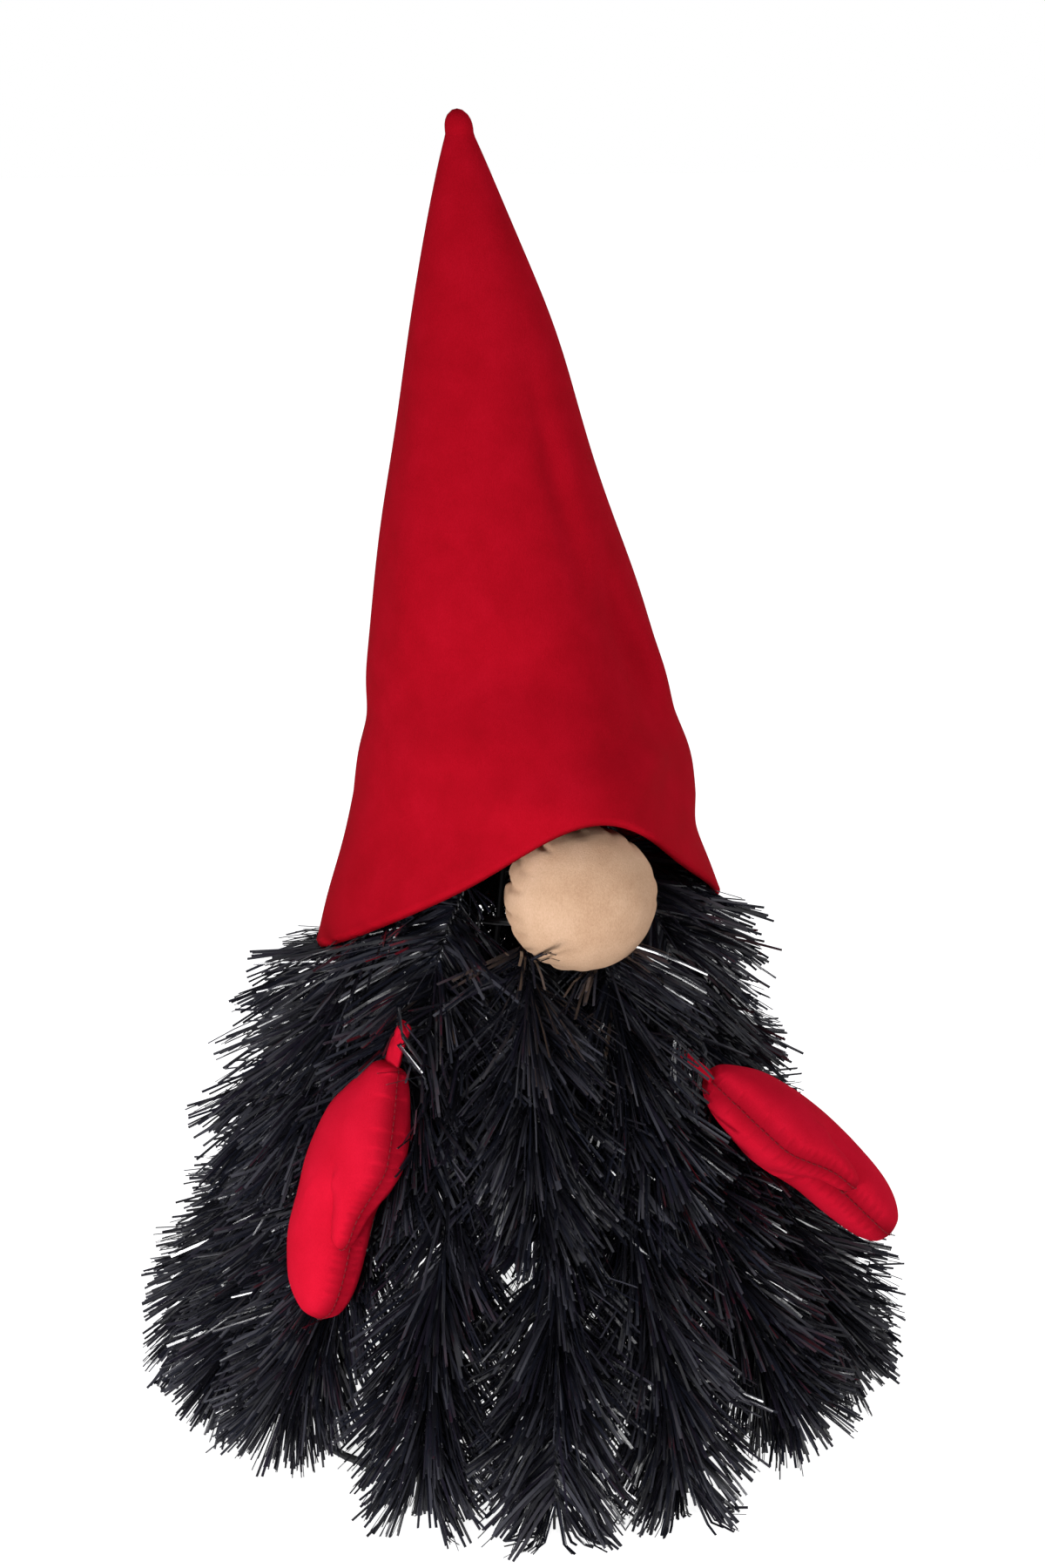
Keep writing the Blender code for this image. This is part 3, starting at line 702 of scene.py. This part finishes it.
def build_hat_filling():
    bm = bmesh.new()
    bmesh.ops.create_uvsphere(bm, u_segments=48, v_segments=40, radius=1)
    low, high = FILLING_LOW_Z, FILLING_HIGH_Z
    for vert in bm.verts:
        t = float(np.arccos(np.clip(vert.co.z, -1, 1)) / pi)
        angle = float(np.arctan2(vert.co.y, vert.co.x))
        z = high + (low - high) * min(1.0, t / 0.85)
        spread = 1.0 if t < 0.85 else (1 - t) / 0.15
        radius = (float(hat_radius(z)) - FILLING_EASE) * spread * min(1.0, (t / 0.03) ** 0.5)
        place = polar(max(0.0, radius), angle, z)
        lumps = 0.003 * noise.noise(place * 60) + 0.0015 * noise.noise(place * 170)
        outward = Vector((sin(angle), -cos(angle), 0))
        place += Vector((float(hat_centre_x(z)), 0, 0)) + outward * (lumps - 0.003) * spread
        vert.co = place + Vector((0, 0, 0.004 * noise.noise(place * 80) * (t > 0.85)))
    bmesh.ops.recalc_face_normals(bm, faces=bm.faces)
    mesh = bpy.data.meshes.new("hat_filling")
    bm.to_mesh(mesh)
    bm.free()
    mesh.shade_smooth()
    mesh.materials.append(FILLING)
    piece = link(bpy.data.objects.new("hat_filling", mesh))
    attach(piece, "hat")
    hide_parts("hat_stuffing")


# ---- nose ----

def build_nose():
    """A round of fleece gathered behind: smooth in front, with irregular gathers that notch its edge."""
    draw = np.random.default_rng(SEED + 1)
    gathers = np.cumsum(draw.uniform(0.6, 1.4, NOSE_GATHERS))
    gathers *= 2 * pi / gathers[-1]
    widths = draw.uniform(0.045, 0.100, NOSE_GATHERS)
    depths = draw.uniform(0.35, 1.0, NOSE_GATHERS)
    bm = bmesh.new()
    bmesh.ops.create_uvsphere(bm, u_segments=300, v_segments=120, radius=1)
    for vert in bm.verts:
        back = float(np.arccos(np.clip(vert.co.z, -1, 1)))
        angle = float(np.arctan2(vert.co.y, vert.co.x))
        wobble = 0.10 * noise.noise(vert.co * 2.5)
        notch = float(np.sum(depths * np.exp(-(turned_from(angle + wobble, gathers) / widths) ** 2)))
        reach = max(0.0, (back - GATHER_START) / (pi - GATHER_START))
        soft = 0.012 * noise.noise(vert.co * 1.9) + 0.006 * noise.noise(vert.co * 5)
        size = 1 + soft - GATHER_DEPTH * min(1.0, notch) * reach ** 0.75 + 0.012 * reach
        across = Vector((vert.co.x * 1.02, 0, vert.co.y * 0.985)) * size
        vert.co = NOSE_CENTRE + NOSE_SHIFT + NOSE_R * Vector((across.x, -vert.co.z * size * 0.94, across.z))
    bmesh.ops.recalc_face_normals(bm, faces=bm.faces)
    mesh = bpy.data.meshes.new("fleece_nose")
    bm.to_mesh(mesh)
    bm.free()
    mesh.shade_smooth()
    mesh.materials.append(FLEECE)
    nose = link(bpy.data.objects.new("fleece_nose", mesh))
    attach(nose, "skirt")
    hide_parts("nose_cover", "nose_stuffing")


# ---- mittens ----

MITTEN_PATTERN = (
    # wrist and outer edge
    (0.0085, 0.001), (0.0, 0.0015), (-0.0085, 0.001), (-0.0130, -0.007), (-0.0230, -0.019),
    (-0.0310, -0.033), (-0.0350, -0.050), (-0.0355, -0.070), (-0.0345, -0.090), (-0.0325, -0.108),
    # finger end
    (-0.0270, -0.125), (-0.0160, -0.1365), (-0.0020, -0.1400), (0.0090, -0.134), (0.0145, -0.124),
    # crotch and thumb
    (0.0165, -0.110), (0.0155, -0.094), (0.0130, -0.080), (0.0125, -0.071), (0.0145, -0.078),
    (0.0180, -0.0895), (0.0240, -0.0960), (0.0300, -0.0915), (0.0315, -0.078), (0.0300, -0.060),
    (0.0265, -0.042), (0.0190, -0.022), (0.0120, -0.007),
)
MITTEN_GRID = 0.0021
THUMB_TOP, THUMB_CROTCH = -0.045, -0.071
THUMB_FORWARD, THUMB_INWARD = 0.0075, -0.0045
STITCH_PITCH, STITCH_LENGTH, STITCH_R = 0.0034, 0.0024, 0.00022


def inside_outline(points, outline):
    """Even-odd test of points against a closed outline."""
    x, y = points[:, 0], points[:, 1]
    inside = np.zeros(len(points), bool)
    for (x1, y1), (x2, y2) in zip(outline, np.roll(outline, -1, axis=0)):
        crosses = (y1 > y) != (y2 > y)
        at = x1 + (y - y1) * (x2 - x1) / (y2 - y1 if y2 != y1 else 1e-9)
        inside ^= crosses & (x < at)
    return inside


def mitten_outline():
    """The cutting line, as evenly spaced points on one smooth closed curve."""
    corners = np.array(MITTEN_PATTERN)
    turns = np.vstack([corners[-3:], corners, corners[:4]])
    dense = smooth_path([(x, y, 0) for x, y in turns], 900)[:, :2]
    first = np.argmin(np.linalg.norm(dense[:450] - corners[0], axis=1))
    last = 450 + np.argmin(np.linalg.norm(dense[450:] - corners[0], axis=1))
    ring = dense[first:last + 1]
    run = np.concatenate([[0], np.cumsum(np.linalg.norm(np.diff(ring, axis=0), axis=1))])
    at = np.linspace(0, run[-1], int(run[-1] / MITTEN_GRID), endpoint=False)
    return np.stack([np.interp(at, run, ring[:, axis]) for axis in range(2)], axis=1)


def mitten_panel():
    """One flat felt panel as a triangle mesh: its points, its faces and how many points lie on the edge."""
    edge = mitten_outline()
    rows = np.arange(-0.142, 0.004, MITTEN_GRID * 0.866)
    columns = np.arange(-0.036, 0.036, MITTEN_GRID)
    grid = np.array([(x + (row % 2) * MITTEN_GRID / 2, y) for row, y in enumerate(rows) for x in columns])
    grid = grid[inside_outline(grid, edge)]
    near = np.min(np.linalg.norm(grid[:, None] - edge[None], axis=2), axis=1)
    grid = grid[near > MITTEN_GRID * 0.62]
    loop = [(i, (i + 1) % len(edge)) for i in range(len(edge))]
    points, _, faces, *_ = delaunay_2d_cdt([Vector(p) for p in np.vstack([edge, grid])], loop, [], 1, 1e-7)
    return np.array([tuple(p) for p in points]), np.array([tuple(f) for f in faces]), len(edge)


def stuffed_height(points, faces, rim):
    """How far the filling lifts the felt: a membrane held at its edge, fuller near the seam."""
    sides = np.vstack([faces[:, [0, 1]], faces[:, [1, 2]], faces[:, [2, 0]]])
    pairs = np.unique(np.sort(sides, axis=1), axis=0)
    ends = np.concatenate([pairs[:, 0], pairs[:, 1]])
    others = np.concatenate([pairs[:, 1], pairs[:, 0]])
    degree = np.bincount(ends, minlength=len(points))
    lift = np.zeros(len(points))
    for _ in range(1500):
        lift = np.bincount(ends, weights=lift[others], minlength=len(points)) / degree + MITTEN_GRID ** 2 / 4
        lift[:rim] = 0
    return (lift / lift.max()) ** MITTEN_FULLNESS


def build_mitten(label, side):
    points, faces, rim = mitten_panel()
    height = stuffed_height(points, faces, rim)
    ripple = np.array([noise.noise(Vector((x * 45, y * 45, 3.0 * side["thumb_side"]))) for x, y in points])
    depth = MITTEN_DEPTH * height * (1 + 0.05 * ripple)
    front = np.column_stack([points, depth])
    back = np.column_stack([points, -depth])[rim:]
    mirrored = np.where(faces < rim, faces, faces - rim + len(front))[:, ::-1]
    mesh = bpy.data.meshes.new(f"{label}_mitten_felt")
    mesh.from_pydata(np.vstack([front, back]).tolist(), [], np.vstack([faces, mirrored]).tolist())
    piece = link(bpy.data.objects.new(f"{label}_mitten_felt", mesh))
    relax_by_air(piece)
    mesh = piece.data
    flat = read_points(mesh)
    thumb = thumb_share(flat)
    flat[:, 0] += THUMB_INWARD * thumb
    flat[:, 2] += THUMB_FORWARD * thumb
    bend = np.clip((-0.060 - flat[:, 1]) / 0.08, 0, 1) ** 2
    flat[:, 2] -= MITTEN_BEND * bend
    place = np.array(mitten_frame(side))
    flat[:, 0] *= side["thumb_side"]
    write_points(mesh, flat @ place[:3, :3].T + place[:3, 3])
    # Painted shade: the rim points, where the two panels meet, get the "seam" attribute, which darkens the
    # felt as a painted shadow in the seam's crease.
    seam = np.zeros(len(flat), np.float32)
    seam[:rim] = SEAM_SHADE
    mesh.attributes.new("seam", "FLOAT", "POINT").data.foreach_set("value", seam)
    if side["thumb_side"] < 0:
        mesh.flip_normals()
    mesh.materials.append(MITTEN_FELT)
    mesh.shade_smooth()
    smooth = piece.modifiers.new("smooth", "SUBSURF")
    smooth.levels = smooth.render_levels = 1
    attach(piece, f"{label}_mitten")
    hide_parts(f"{label}_front_panel", f"{label}_back_panel", f"{label}_mitten_stuffing")
    stitch_seam(label, read_points(mesh)[:rim], place[:3, 2])
    return piece


def read_points(mesh):
    flat = np.empty(len(mesh.vertices) * 3, np.float32)
    mesh.vertices.foreach_get("co", flat)
    return flat.reshape(-1, 3).astype(float)


def write_points(mesh, points):
    mesh.vertices.foreach_set("co", points.astype(np.float32).ravel())
    mesh.update()


def thumb_share(points):
    """0 on the hand and 1 on the thumb, turning smoothly above the crotch between them."""
    x, y = points[:, 0], points[:, 1]
    slit = np.interp(-y, (0.040, 0.071, 0.098), (0.010, 0.0128, 0.0205))
    width = np.interp(-y, (0.045, 0.071), (0.010, 0.0002))
    along = np.clip((THUMB_TOP - y) / (THUMB_TOP - THUMB_CROTCH + 0.012), 0, 1)
    across = np.clip((x - slit) / width + 0.5, 0, 1)
    return along ** 2 * (3 - 2 * along) * across


def relax_by_air(piece):
    """Lets air pressure settle the sewn felt a few millimetres from its first shape."""
    cloth = piece.modifiers.new("cloth", "CLOTH")
    settings = cloth.settings
    settings.quality = 5
    settings.mass = CLOTH_MASS
    settings.tension_stiffness = settings.compression_stiffness = STRETCH_STIFFNESS
    settings.shear_stiffness = SHEAR_STIFFNESS
    settings.bending_stiffness = BENDING_STIFFNESS
    settings.use_pressure = True
    settings.uniform_pressure_force = AIR_PRESSURE
    settings.effector_weights.gravity = 0
    cloth.point_cache.frame_start, cloth.point_cache.frame_end = 1, AIR_STEPS
    for step in range(1, AIR_STEPS + 1):
        bpy.context.scene.frame_set(step)
    settled = bpy.data.meshes.new_from_object(piece.evaluated_get(bpy.context.evaluated_depsgraph_get()))
    piece.modifiers.remove(cloth)
    start, moved = read_points(piece.data), read_points(settled)
    step = moved - start
    length = np.linalg.norm(step, axis=1, keepdims=True)
    write_points(piece.data, start + step * np.minimum(1, AIR_CAP / np.maximum(length, 1e-9)))
    bpy.data.meshes.remove(settled)
    bpy.context.scene.frame_set(1)


def stitch_seam(label, seam, outward):
    """Short machine stitches that lie in the seam."""
    ring = np.vstack([seam, seam[:1]])
    run = np.concatenate([[0], np.cumsum(np.linalg.norm(np.diff(ring, axis=0), axis=1))])
    count = int(run[-1] / STITCH_PITCH)
    parts = []
    for index in range(count):
        middle = run[-1] * (index + 0.5) / count
        ends = [np.array([np.interp(middle + half * STITCH_LENGTH, run, ring[:, axis]) for axis in range(3)])
                for half in (-0.5, 0, 0.5)]
        parts.append(np.array(ends) + outward * 0.0001)
    thread = tubes(f"{label}_mitten_stitches", parts, STITCH_R, 5, RED_THREAD)
    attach(thread, f"{label}_mitten")


def tubes(name, paths, radius, sides, material):
    """Closed round tubes along short paths, in one mesh."""
    verts, quads, tris = [], [], []
    start = 0
    for path in paths:
        along = unit(np.gradient(path, axis=0))
        side = unit(np.cross(along, np.array([0.31, 0.55, 0.77])))
        up = np.cross(side, along)
        angles = 2 * pi * np.arange(sides) / sides
        ring = path[:, None] + radius * (np.cos(angles)[None, :, None] * side[:, None]
                                         + np.sin(angles)[None, :, None] * up[:, None])
        verts.append(ring.reshape(-1, 3))
        row = np.arange(len(path) - 1)[:, None] * sides
        corner = np.arange(sides)[None, :]
        after = (corner + 1) % sides
        quads.append(start + np.stack([row + corner, row + sides + corner, row + sides + after, row + after],
                                      axis=-1).reshape(-1, 4))
        fan = np.arange(1, sides - 1)
        last = (len(path) - 1) * sides
        tris.append(start + np.stack([0 * fan, fan, fan + 1], axis=1))
        tris.append(start + last + np.stack([0 * fan, fan + 1, fan], axis=1))
        start += len(path) * sides
    arrays = [np.concatenate(part) for part in (verts, quads, tris)]
    return mesh_from_arrays(name, *arrays, [material], smooth=True)


def build_tab(label, side):
    """The narrow cuff strip of felt over its tie, as one gently curved sheet."""
    place = mitten_frame(side)
    bm = bmesh.new()
    bmesh.ops.create_grid(bm, x_segments=18, y_segments=34, size=1)
    for vert in bm.verts:
        u, v = vert.co.x, (vert.co.y + 1) / 2
        x = u * TAB_WIDTH / 2 * (1.25 - 0.35 * v + 0.10 * v * v)
        y = TAB_LOW + (TAB_HIGH - TAB_LOW) * v - 0.0025 * u * u * v
        ripple = 0.0007 * noise.noise(Vector((u * 2, v * 4, 1.0 + side["azimuth"])))
        z = 0.0012 * sin(3.0 * v) - 0.0016 * (u ** 2) + ripple
        vert.co = place @ Vector((x, y, z))
    mesh = bpy.data.meshes.new(f"{label}_cuff_tab")
    bm.to_mesh(mesh)
    bm.free()
    mesh.shade_smooth()
    mesh.materials.append(MITTEN_FELT)
    tab = link(bpy.data.objects.new(f"{label}_cuff_tab", mesh))
    skin = tab.modifiers.new("felt", "SOLIDIFY")
    skin.thickness = TAB_FELT
    skin.offset = 0
    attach(tab, f"{label}_cuff")
    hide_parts(f"{label}_tab")


# ---- carried-over nodes ----

def dress_frame():
    for name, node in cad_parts.items():
        if name.endswith(("_ring", "_tie")) or name.startswith("leg_"):
            material = CAGE_WIRE
        elif name == "nose_thread":
            material = BEIGE_THREAD
        elif name == "nose_wire":
            material = STEM_WIRE
        else:
            continue
        for slot in node.material_slots:
            slot.material = material


# ---- stage, light and camera ----

CAMERA_AZIMUTH, CAMERA_ELEVATION = radians(-15), radians(14)
CAMERA_DISTANCE = 1.5
PIXELS_PER_METRE = 2060
FRAME_HEIGHT = 1800
SENSOR = 36.0
TARGET = Vector((-0.0013, 0, 0.354))
LIGHTS = (
    # name, place, height of its target, size, power
    ("window", (-0.72, -0.78, 0.07), 0.24, 0.40, 12),
    ("far_window", (1.2, -0.6, 0.35), 0.18, 0.50, 4.2),
    ("lamp", (-0.25, -1.10, 1.15), 0.15, 0.22, 2.2),
    ("side_lamp", (0.75, -1.20, 0.75), 0.15, 0.20, 1.1),
)
SUN_POWER, SUN_SPREAD, SUN_TILT = 0.32, radians(70), radians(12)
FLOOR_TONE, FLOOR_GLOW = (0.90, 0.90, 0.90, 1), 0.90
SKY_LOW, SKY_HIGH = -0.1, 0.9
SKY_STOPS = (
    # share of the way from SKY_LOW to SKY_HIGH, colour: a white band that starts just under the horizon
    (0.050, (0.42, 0.42, 0.43)),
    (0.055, (1.0, 1.0, 1.0)),
    (0.15, (1.0, 1.0, 1.0)),
    (0.22, (0.16, 0.16, 0.17)),
    (1.0, (0.22, 0.22, 0.235)),
)


def aim(thing, target):
    thing.rotation_euler = (Vector(target) - thing.location).to_track_quat("-Z", "Y").to_euler()


def area_light(name, place, target, size, power):
    light = bpy.data.lights.new(name, "AREA")
    light.shape = "DISK"
    light.size = size
    light.energy = power
    lamp = link(bpy.data.objects.new(name, light))
    lamp.location = place
    aim(lamp, target)


def build_stage():
    mesh = bpy.data.meshes.new("floor")
    bm = bmesh.new()
    bmesh.ops.create_grid(bm, x_segments=2, y_segments=2, size=30)
    bm.to_mesh(mesh)
    bm.free()
    material, nodes, links, shader = new_material("pale_floor")
    shader.inputs["Base Color"].default_value = FLOOR_TONE
    shader.inputs["Roughness"].default_value = 0.9
    shader.inputs["Specular IOR Level"].default_value = 0.0
    shader.inputs["Emission Color"].default_value = (1, 1, 1, 1)
    shader.inputs["Emission Strength"].default_value = FLOOR_GLOW
    mesh.materials.append(material)
    floor = link(bpy.data.objects.new("floor", mesh))
    floor.visible_diffuse = floor.visible_glossy = False
    bpy.context.scene.view_settings.view_transform = "Standard"
    world = bpy.data.worlds.new("studio")
    world.use_nodes = True
    nodes, links = world.node_tree.nodes, world.node_tree.links
    direction = nodes.new("ShaderNodeTexCoord")
    split = nodes.new("ShaderNodeSeparateXYZ")
    links.new(direction.outputs["Generated"], split.inputs["Vector"])
    height = range_node(nodes, links, split.outputs["Z"], SKY_LOW, SKY_HIGH, 0.0, 1.0)
    sky = ramp_node(nodes, links, height.outputs["Result"], SKY_STOPS)
    links.new(sky.outputs["Color"], nodes["Background"].inputs["Color"])
    bpy.context.scene.world = world
    for name, place, target_z, size, power in LIGHTS:
        area_light(name, place, (0, 0, target_z), size, power)
    sun = bpy.data.lights.new("ceiling", "SUN")
    sun.energy = SUN_POWER
    sun.angle = SUN_SPREAD
    link(bpy.data.objects.new("ceiling", sun)).rotation_euler = (SUN_TILT, 0, 0)


def build_camera():
    back = polar(cos(CAMERA_ELEVATION), CAMERA_AZIMUTH, sin(CAMERA_ELEVATION))
    data = bpy.data.cameras.new("camera")
    data.sensor_fit = "VERTICAL"
    data.sensor_height = SENSOR
    data.lens = PIXELS_PER_METRE * CAMERA_DISTANCE / FRAME_HEIGHT * SENSOR
    camera = link(bpy.data.objects.new("camera", data))
    camera.location = TARGET + back * CAMERA_DISTANCE
    aim(camera, TARGET)
    bpy.context.scene.camera = camera


build_stage()
build_camera()
dress_frame()
build_skirt()
build_hat()
build_hat_filling()
build_nose()
for label, side in MITTENS.items():
    build_mitten(label, side)
    build_tab(label, side)
